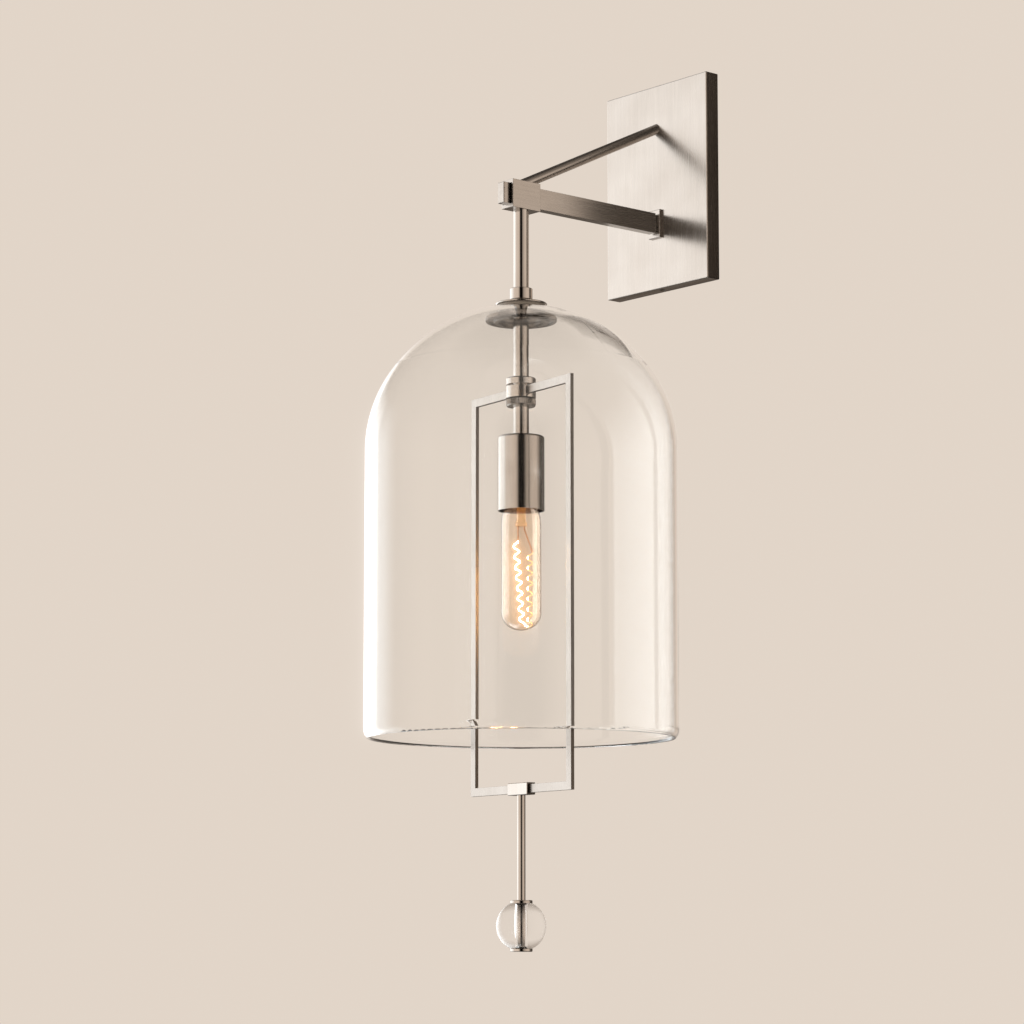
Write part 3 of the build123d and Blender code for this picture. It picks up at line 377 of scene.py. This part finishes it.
# %% Finishes of the lamp's glass
HAZE_TINT = (1.0, 0.42, 0.14, 1)
GLIMMER_TINT = (1.0, 0.45, 0.12, 1)


def lit_from_inside(material, tint, strength):
    """Give a glass a faint light of its own."""
    shader = material.node_tree.nodes["Principled BSDF"]
    shader.inputs["Emission Color"].default_value = tint
    shader.inputs["Emission Strength"].default_value = strength
    return shader


lamp_glass = glass("lamp_glass", (0.93, 0.85, 0.77, 1), SODA_GLASS, 0.03, 0.00002)
lamp_shader = lit_from_inside(lamp_glass, HAZE_TINT, 0.004)
lamp_shader.inputs["Coat Weight"].default_value = 1.0
lamp_shader.inputs["Coat IOR"].default_value = SODA_GLASS
lamp_shader.inputs["Coat Roughness"].default_value = 0.0
mount_glass = glass("mount_glass", (1.0, 0.84, 0.62, 1), CRYSTAL_GLASS)
lit_from_inside(mount_glass, GLIMMER_TINT, 0.06)
dress(lamp_glass, "bulb_glass")
dress(mount_glass, "bulb_mount")

for clear_node in ("glass_bell", "crystal_ball", "bulb_glass", "bulb_mount"):
    nodes[clear_node].visible_shadow = False
    print(clear_node, "throws no shadow")

# %% [markdown]
# ## The lit wire
# The lamp is on. Its coiled wire is the one piece that lights others: the warm colour down the
# inner side of the frame's strips is its doing. A lamp object inside the tube would be simpler,
# but it shows up as a bright disc in every curved glass, so the wire's own material does it.
# In the photograph the left leg of the wire has burnt out to white and the right one is only
# orange. The material measures how far a point is to the right of the stem's axis, and blends hot
# to warm by that. What comes back by way of a mirror or of many glass faces is turned down, as a
# lamp that bright would otherwise leave sparks all over the glass.

# %% The glowing wire
LAMP_TURN = radians(49.3)     # the plane that the wire lies in, about the stem
HOT_SIDE = 0.0015             # metres right of the axis, up to which the wire is white hot
WARM_SIDE = 0.0055            # and from which it is only warm
MANY_FACES = 4.5              # glass faces passed on the way
MIRRORED_SHARE = 0.003        # of the wire's light, when it is seen in a mirror
stem_low, stem_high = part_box("lower_stem")
stem_middle = (stem_low + stem_high) / 2


def right_of_stem(tree):
    """0 on the hot side of the wire, and 1 on its warm side."""
    place = add(tree, "ShaderNodeTexCoord").outputs["Object"]
    offset = add(tree, "ShaderNodeVectorMath", {"operation": "SUBTRACT"})
    feed(tree, offset.inputs[0], place)
    feed(tree, offset.inputs[1], tuple(stem_middle))
    across = add(tree, "ShaderNodeVectorMath", {"operation": "DOT_PRODUCT"})
    feed(tree, across.inputs[0], offset.outputs[0])
    feed(tree, across.inputs[1], (cos(LAMP_TURN), sin(LAMP_TURN), 0))
    return spread(tree, across.outputs["Value"], HOT_SIDE, WARM_SIDE, 0, 1)


def glowing(name, hot, warm, hot_strength, warm_strength):
    """A lit wire, hotter on its left side than on its right."""
    material, tree, shader = new_finish(name)
    right = right_of_stem(tree)
    ray = add(tree, "ShaderNodeLightPath").outputs
    mirrored = reckon(tree, "GREATER_THAN", ray["Glossy Depth"], 0.5)
    roundabout = reckon(tree, "GREATER_THAN", ray["Transmission Depth"], MANY_FACES)
    share = spread(tree, reckon(tree, "MAXIMUM", mirrored, roundabout), 0, 1, 1, MIRRORED_SHARE)
    strength = spread(tree, right, 0, 1, hot_strength, warm_strength)
    shader.inputs["Base Color"].default_value = (0.2, 0.08, 0.03, 1)
    feed(tree, shader.inputs["Emission Color"], mixed(tree, right, hot, warm))
    feed(tree, shader.inputs["Emission Strength"], reckon(tree, "MULTIPLY", strength, share))
    return material


WHITE_HOT = 500.0             # strength; this clips to white, whatever the tint
ORANGE_HOT = 1.6              # strength; this still shows its tint
hot_wire = glowing("filament_hot", (1.0, 0.54, 0.2, 1), (1.0, 0.55, 0.20, 1), WHITE_HOT, ORANGE_HOT)
dress(hot_wire, "filament")
print("stem axis at", [round(v, 4) for v in stem_middle])

# %% [markdown]
# ## The plain pieces
# Screws, leads, porcelain and brass are hardly seen, but they are looked at when the lamp is out
# or when the light is turned round. One recipe does for all of them: a plain colour with a fine
# mottle in its tone, its roughness and its bump, because no real surface is perfectly even.

# %% A recipe for plain finishes
MOTTLE_BUMP = 0.2
MOTTLE_DEPTH = 0.00005    # metres


def plain(name, colour, roughness, metallic=0.0, speck=0.06, size=0.004):
    """A plain finish with a fine mottle in its tone and its roughness."""
    material, tree, shader = new_finish(name)
    place = add(tree, "ShaderNodeTexCoord").outputs["Object"]
    mottle = add(tree, "ShaderNodeTexNoise", {"Scale": 1 / size, "Detail": 4.0},
                 Vector=place).outputs["Fac"]
    tone = mixed(tree, mottle, shaded(colour, 1 - speck), shaded(colour, 1 + speck))
    rough = spread(tree, mottle, 0, 1, roughness * 0.85, min(1.0, roughness * 1.15))
    bump = add(tree, "ShaderNodeBump", {"Strength": MOTTLE_BUMP, "Distance": MOTTLE_DEPTH},
               Height=mottle)
    feed(tree, shader.inputs["Base Color"], tone)
    feed(tree, shader.inputs["Roughness"], rough)
    feed(tree, shader.inputs["Normal"], bump.outputs[0])
    shader.inputs["Metallic"].default_value = metallic
    return material


dress(plain("zinc_plate", rgb(190, 192, 194), 0.38, 1.0), "wall_bracket", "arm_anchor",
      "anchor_nuts", "brace_washer", "brace_screw", "stem_nipple", "hanger_nipple",
      "socket_nipple", "socket_locknut")
dress(plain("blackened_steel", rgb(52, 48, 44), 0.45, 1.0), "cover_screws", "stop_ring_screw")
dress(plain("earth_green", rgb(46, 140, 70), 0.4, 0.6), "ground_screw")
dress(plain("silicone", rgb(214, 208, 198), 0.5), "upper_gasket", "lower_gasket")

# %% [markdown]
# ## What carries the current
# The lampholder is porcelain, with a brass shell and a sprung brass contact. The lamp has a plated
# base with a black glass insulator and a spot of solder. Two leads run up the stem and along the
# arm, to a pair of twist-on connectors behind the plate.

# %% Finishes of the electrical pieces
dress(plain("porcelain", rgb(232, 226, 214), 0.55), "lampholder")
dress(plain("stamped_brass", rgb(206, 160, 84), 0.3, 1.0), "screw_shell", "centre_contact")
dress(plain("lamp_base_plate", rgb(200, 196, 188), 0.28, 1.0), "bulb_base")
dress(plain("insulator_glass", rgb(24, 24, 27), 0.15), "base_insulator")
dress(plain("solder", rgb(176, 176, 178), 0.42, 1.0), "base_contact")
dress(plain("support_wire", rgb(190, 126, 74), 0.35, 1.0), "prong_wires")
dress(plain("black_insulation", rgb(26, 26, 26), 0.55), "lead_live")
dress(plain("white_insulation", rgb(222, 220, 214), 0.55), "lead_neutral")
dress(plain("amber_plastic", rgb(214, 140, 52), 0.45), "connectors")

# %% [markdown]
# ## The room round the light
# Polished metal has hardly a colour of its own: it shows the room. So the room is designed like a
# studio set, as panels that stand round the object at the points of the compass. A bright window
# is at the left, lit screens are on both sides, and a black flag hangs right behind the camera.
# That flag is the dark line down the middle of every tube. The panels could be meshes with light
# of their own, but then the glass would show their edges. A colour ramp over the compass angle
# does the whole room, with soft edges wherever two stops are far apart.
# Photographers light glass with separate cards, because the panels that suit the metal drown the
# glass in white. So there are three ramps: one for the metal, one for what the near side of the
# bell mirrors, and one for what its far side mirrors. The narrow bright bands along both edges of
# the bell come from the last two.

# %% The panels of the room
# Compass angle in degrees (0 is +X, 90 is +Y, behind the plate), brightness, and how much window.
ROOM = [(-180, 1.9, 1), (-150, 1.65, 0.9), (-135, 1.4, 0.8), (-118, 1.0, 0.2), (-70, 0.90, 0),
        (-60, 0.55, 0), (-52, 0.0, 0), (-29, 0.0, 0), (-14, 0.50, 0), (5, 0.72, 0), (20, 0.84, 0),
        (42, 0.84, 0), (55, 0.45, 0), (68, 0.10, 0), (95, 0.10, 0), (125, 0.2, 0), (148, 0.24, 0),
        (160, 1.2, 0.7), (180, 1.9, 1)]
NEAR_CARDS = [(-180, 3.0, 1.2), (-174, 2.8, 1.2), (-171, 1.7, 1.2), (-161, 1.6, 1.2),
              (-146, 0.8, 0.3), (-62, 0.8, 0.3), (-50, 0.05, 0), (-26, 0.05, 0), (-10, 0.6, 0.3),
              (10, 0.76, 0.3), (96, 0.76, 0.3), (101, 0.5, 0), (109, 0.5, 0), (116, 0.66, 0),
              (134, 0.76, 0.3), (148, 0.9, 0.3), (154, 2.6, 1.2), (180, 3.0, 1.2)]
FAR_CARDS = [(-180, 2.0, 1.2), (-172, 2.8, 1.2), (-170, 0.6, 0.5), (-166, 0.6, 0.5),
             (-163, 5.0, 1.2), (-130, 4.6, 1.2), (-122, 3.8, 1.2), (-118, 4.4, 1.2),
             (-116, 0.76, 0.3), (132, 0.76, 0.3), (145, 0.35, 0), (167, 0.35, 0),
             (172, 0.6, 0.3), (177, 2.0, 1.2), (180, 2.0, 1.2)]
WARM = (1.0, 0.83, 0.69)      # the tint of the lit screens
COOL = (1.0, 0.99, 0.97)      # the tint of the window


def compass_ramp(tree, angle, panels):
    """A colour ramp over the compass angle."""
    ramp = add(tree, "ShaderNodeValToRGB", Fac=angle)
    stops = ramp.color_ramp.elements
    while len(stops) < len(panels):
        stops.new(0.5)
    for stop, (degrees_round, level, window) in zip(stops, panels):
        stop.position = (degrees_round + 180) / 360
        tint = [w + (c - w) * window for w, c in zip(WARM, COOL)]
        stop.color = [level * t for t in tint] + [1.0]
    return ramp.outputs["Color"]


print("panels in the room:", len(ROOM), "on the cards:", len(NEAR_CARDS), "and", len(FAR_CARDS))

# %% [markdown]
# ## Which way, and how high
# A world shader is asked for the light that comes from one direction. The direction's angle on the
# floor plan picks the panel. Its height, from -1 straight down to 1 straight up, says how much of
# that panel is left: the room fades towards a dim floor and a dim ceiling, and the cards stop
# where the bell's dome begins, so that the dome stays clear.

# %% Directions in the world
FLOOR_FADE = (-0.75, -0.05)   # heights between which the room comes up from the dim floor
FLOOR_LEVEL = 0.12
CEILING_FADE = (0.25, 0.65)   # and between which it goes over to the dim ceiling
CEILING_LEVEL = 0.3
NEAR_CARD_TOP = (0.15, 0.40)  # where the near side's cards end
FAR_CARD_FOOT = (-0.55, -0.05)    # where the far side's cards begin
HOOD_EDGE = (0.82, 0.97)      # the dark hood right overhead, which the crown of the dome mirrors
HOOD_SHARE = 0.8
STEEP = (0.45, 0.75)          # heights or depths that only a sharply bent ray comes to

world = bpy.data.worlds.new("surround")
bpy.context.scene.world = world
world.use_nodes = True
sky = world.node_tree
direction = add(sky, "ShaderNodeTexCoord").outputs["Generated"]
part = add(sky, "ShaderNodeSeparateXYZ", Vector=direction).outputs
angle = spread(sky, reckon(sky, "ARCTAN2", part["Y"], part["X"]), -pi, pi, 0, 1)
up = part["Z"]
above_floor = spread(sky, up, *FLOOR_FADE, FLOOR_LEVEL, 1.0)
below_ceiling = spread(sky, up, *CEILING_FADE, 1.0, CEILING_LEVEL)
room_height = reckon(sky, "MULTIPLY", above_floor, below_ceiling)
near_card_height = spread(sky, up, *NEAR_CARD_TOP, 1.0, 0.0)
far_card_height = spread(sky, up, *FAR_CARD_FOOT, 0.0, 1.0)
hood = spread(sky, up, *HOOD_EDGE, 0.0, HOOD_SHARE)
steep = spread(sky, reckon(sky, "ABSOLUTE", up), *STEEP, 0.0, 1.0)
print("the hood begins", HOOD_EDGE[0], "of the way up")

# %% [markdown]
# ## Which kind of ray asks
# The Light Path node tells how a ray came to the world. A ray from the camera, or one that only
# went through glass, is someone looking at the background: it sees one even pale beige. A ray that
# was mirrored sharply came off glass, and the number of glass faces that it has been through tells
# which face mirrored it: under 3 is the near side of the bell, over 5 its far side or the lamp,
# over 7 the lamp's far side. All other rays, most of them off metal, see the room. None of this
# asks where the camera stands, so it holds from every side.

# %% Kinds of ray
NEAR_FACES = 3                # glass faces passed
FAR_FACES = 5
DEEP_FACES = 7
ray = add(sky, "ShaderNodeLightPath").outputs
bounces = reckon(sky, "ADD", ray["Glossy Depth"], ray["Diffuse Depth"])
straight = reckon(sky, "LESS_THAN", bounces, 0.5)
seen_through = reckon(sky, "MULTIPLY", ray["Is Transmission Ray"], straight)
looked_at = reckon(sky, "MAXIMUM", ray["Is Camera Ray"], seen_through)
off_paint = reckon(sky, "LESS_THAN", ray["Diffuse Depth"], 0.5)
sharp = reckon(sky, "MULTIPLY", ray["Is Singular Ray"], off_paint)
faces = ray["Transmission Depth"]
near = reckon(sky, "MULTIPLY", sharp, reckon(sky, "LESS_THAN", faces, NEAR_FACES))
far = reckon(sky, "MULTIPLY", sharp, reckon(sky, "GREATER_THAN", faces, FAR_FACES))
deep = reckon(sky, "GREATER_THAN", faces, DEEP_FACES)
bent = reckon(sky, "MULTIPLY", steep, ray["Is Transmission Ray"])
print("glass faces passed: near under", NEAR_FACES, "far over", FAR_FACES, "deep over", DEEP_FACES)

# %% [markdown]
# ## The room put together
# Each kind of ray gets its own light, one blended over the other. One thing is left: a glass rim
# bends some rays so steeply that they end up at the ceiling or the floor. Where such a rim is
# photographed, it shows as a thin dark line, because a studio is dark up there. So the even beige
# gives way to a darker one for rays that went through glass and leave it steeply.

# %% The light of the world
SURROUND = rgb(225, 212, 199)
DARK_CEILING = (0.44, 0.37, 0.31, 1.0)
HOOD_TONE = (0.14, 0.115, 0.09, 1)
DEEP_GAIN = (1.4, 1.4, 1.4, 1)
BLACK = (0, 0, 0, 1)
room = mixed(sky, room_height, BLACK, compass_ramp(sky, angle, ROOM))
near_cards = mixed(sky, near_card_height, SURROUND, compass_ramp(sky, angle, NEAR_CARDS))
near_cards = mixed(sky, hood, near_cards, HOOD_TONE)
far_cards = mixed(sky, far_card_height, SURROUND, compass_ramp(sky, angle, FAR_CARDS))
far_cards = mixed(sky, deep, far_cards, DEEP_GAIN, "MULTIPLY")
light = mixed(sky, near, room, near_cards)
light = mixed(sky, far, light, far_cards)
light = mixed(sky, looked_at, light, mixed(sky, bent, SURROUND, DARK_CEILING))
feed(sky, sky.nodes["Background"].inputs["Color"], light)
print("nodes in the world:", len(sky.nodes))

# %% [markdown]
# ## The floor
# A plain pale floor lies well below the ball. It is big enough to reach behind the light in every
# view. The panels are too dim near the ground to light it well, so it gives off half of the
# background's own light, and its edge hardly shows against the background. Metal and glass don't
# see it: they have the dim floor of the room to mirror.

# %% A pale floor
FLOOR_HEIGHT = -0.95          # metres
FLOOR_RADIUS = 3.0
bell_low, bell_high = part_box("glass_bell")
bell_middle = (bell_low + bell_high) / 2

bpy.ops.mesh.primitive_circle_add(vertices=96, radius=FLOOR_RADIUS, fill_type="NGON")
disc = bpy.context.object
disc.name = "floor"
disc.location = (0, bell_middle.y, FLOOR_HEIGHT)
floor_paint, floor_tree, floor_shader = new_finish("floor_paint")
floor_shader.inputs["Base Color"].default_value = rgb(240, 236, 230)
floor_shader.inputs["Roughness"].default_value = 0.9
floor_shader.inputs["Emission Color"].default_value = SURROUND
floor_shader.inputs["Emission Strength"].default_value = 0.5
disc.data.materials.append(floor_paint)
disc.visible_glossy = False
disc.visible_transmission = False

# %% [markdown]
# ## A dark card behind the plate
# In the photograph the side of the arm goes darker and darker towards the plate. A black card that
# stands a little behind the plate, to its right, does that. Only brushed metal may mirror it. To
# the camera, through glass and to shadows it isn't there, and for sharply mirrored rays, which
# come off glass, its material turns clear.

# %% The dark card
# the card is painted shade: a dark sheet standing in for the shadowed wall beside the plate
CARD_TONE = (0.05, 0.05 * 0.85, 0.05 * 0.72, 1)
CARD_SIDES = (0.045, 0.15)    # metres along X
CARD_ENDS = (-0.16, 0.22)     # metres up
CARD_PLACE = 0.03             # metres behind the back of the plate

corners = [(CARD_SIDES[0], CARD_PLACE, CARD_ENDS[0]), (CARD_SIDES[1], CARD_PLACE, CARD_ENDS[0]),
           (CARD_SIDES[1], CARD_PLACE, CARD_ENDS[1]), (CARD_SIDES[0], CARD_PLACE, CARD_ENDS[1])]
card_mesh = bpy.data.meshes.new("dark_card")
card_mesh.from_pydata(corners, [], [(0, 1, 2, 3)])
board = bpy.data.objects.new("dark_card", card_mesh)
bpy.context.scene.collection.objects.link(board)
card_paint, card_tree, card_shader = new_finish("dark_card_paint")
card_shader.inputs["Base Color"].default_value = CARD_TONE
card_shader.inputs["Roughness"].default_value = 0.9
from_glass = add(card_tree, "ShaderNodeLightPath").outputs["Is Singular Ray"]
clear = add(card_tree, "ShaderNodeBsdfTransparent")
choice = add(card_tree, "ShaderNodeMixShader")
feed(card_tree, choice.inputs[0], from_glass)
feed(card_tree, choice.inputs[1], card_shader.outputs[0])
feed(card_tree, choice.inputs[2], clear.outputs[0])
feed(card_tree, card_tree.nodes["Material Output"].inputs["Surface"], choice.outputs[0])
card_mesh.materials.append(card_paint)
for way_in in ("camera", "diffuse", "transmission", "shadow"):
    setattr(board, "visible_" + way_in, False)
print("dark card", round(CARD_SIDES[1] - CARD_SIDES[0], 3), "m wide")

# %% [markdown]
# ## The camera
# The photograph was taken from the right, at about the height of the crystal ball, so the bell is
# seen from a little below. A long lens a good two metres away keeps the plate's edges almost
# parallel. The small shift moves the picture on the sensor, which frames the light without tilting
# the camera any further.

# %% Camera
camera = bpy.data.cameras.new("camera")
camera.lens = 108.75
camera.sensor_width = 36.0
camera.shift_y = 0.05
eye = bpy.data.objects.new("camera", camera)
bpy.context.scene.collection.objects.link(eye)
eye.location = (1.7731, -1.6940, -0.6090)
eye.rotation_euler = (radians(90 + 7.083), 0, radians(49.266))
bpy.context.scene.camera = eye
print("camera", round((eye.location - bell_middle).length, 2), "m from the bell")

# %% [markdown]
# ## Rays through many faces
# A ray that passes the bell, the lamp and the bell again has been through eight faces, and the ball
# adds inner mirrorings. With the usual few bounces such a ray ends in black, so the limits are
# raised. The wire is so bright that a clamp would dim it wherever it is seen through glass, so
# clamping is off. Caustics are off, as they would only add sparks.

# %% Light paths
MOST_BOUNCES = 40
scene = bpy.context.scene
scene.view_settings.view_transform = "Standard"
scene.cycles.max_bounces = MOST_BOUNCES
scene.cycles.transmission_bounces = MOST_BOUNCES
scene.cycles.glossy_bounces = 24
scene.cycles.sample_clamp_indirect = 0
scene.cycles.caustics_reflective = False
scene.cycles.caustics_refractive = False
print("bounces allowed:", scene.cycles.max_bounces)

# %% [markdown]
# ## The veil of a bright lamp
# A lens spreads a little of a bright lamp's light round it. The Glare node does that to the
# finished picture. It only takes what is brighter than white paper, so the window's reflections
# hardly bloom, and it is held to a maximum, or the wire would drown its own tube.

# %% Bloom
scene.use_nodes = True
picture = scene.node_tree
picture.nodes.clear()
layers = add(picture, "CompositorNodeRLayers")
BLOOM = {"glare_type": "BLOOM", "quality": "HIGH", "Threshold": 1.2, "Strength": 0.35,
         "Size": 0.06, "Clamp": True, "Maximum": 20.0}
glare = add(picture, "CompositorNodeGlare", BLOOM, Image=layers.outputs["Image"])
add(picture, "CompositorNodeComposite", Image=glare.outputs["Image"])
print("bloom above a brightness of", BLOOM["Threshold"])
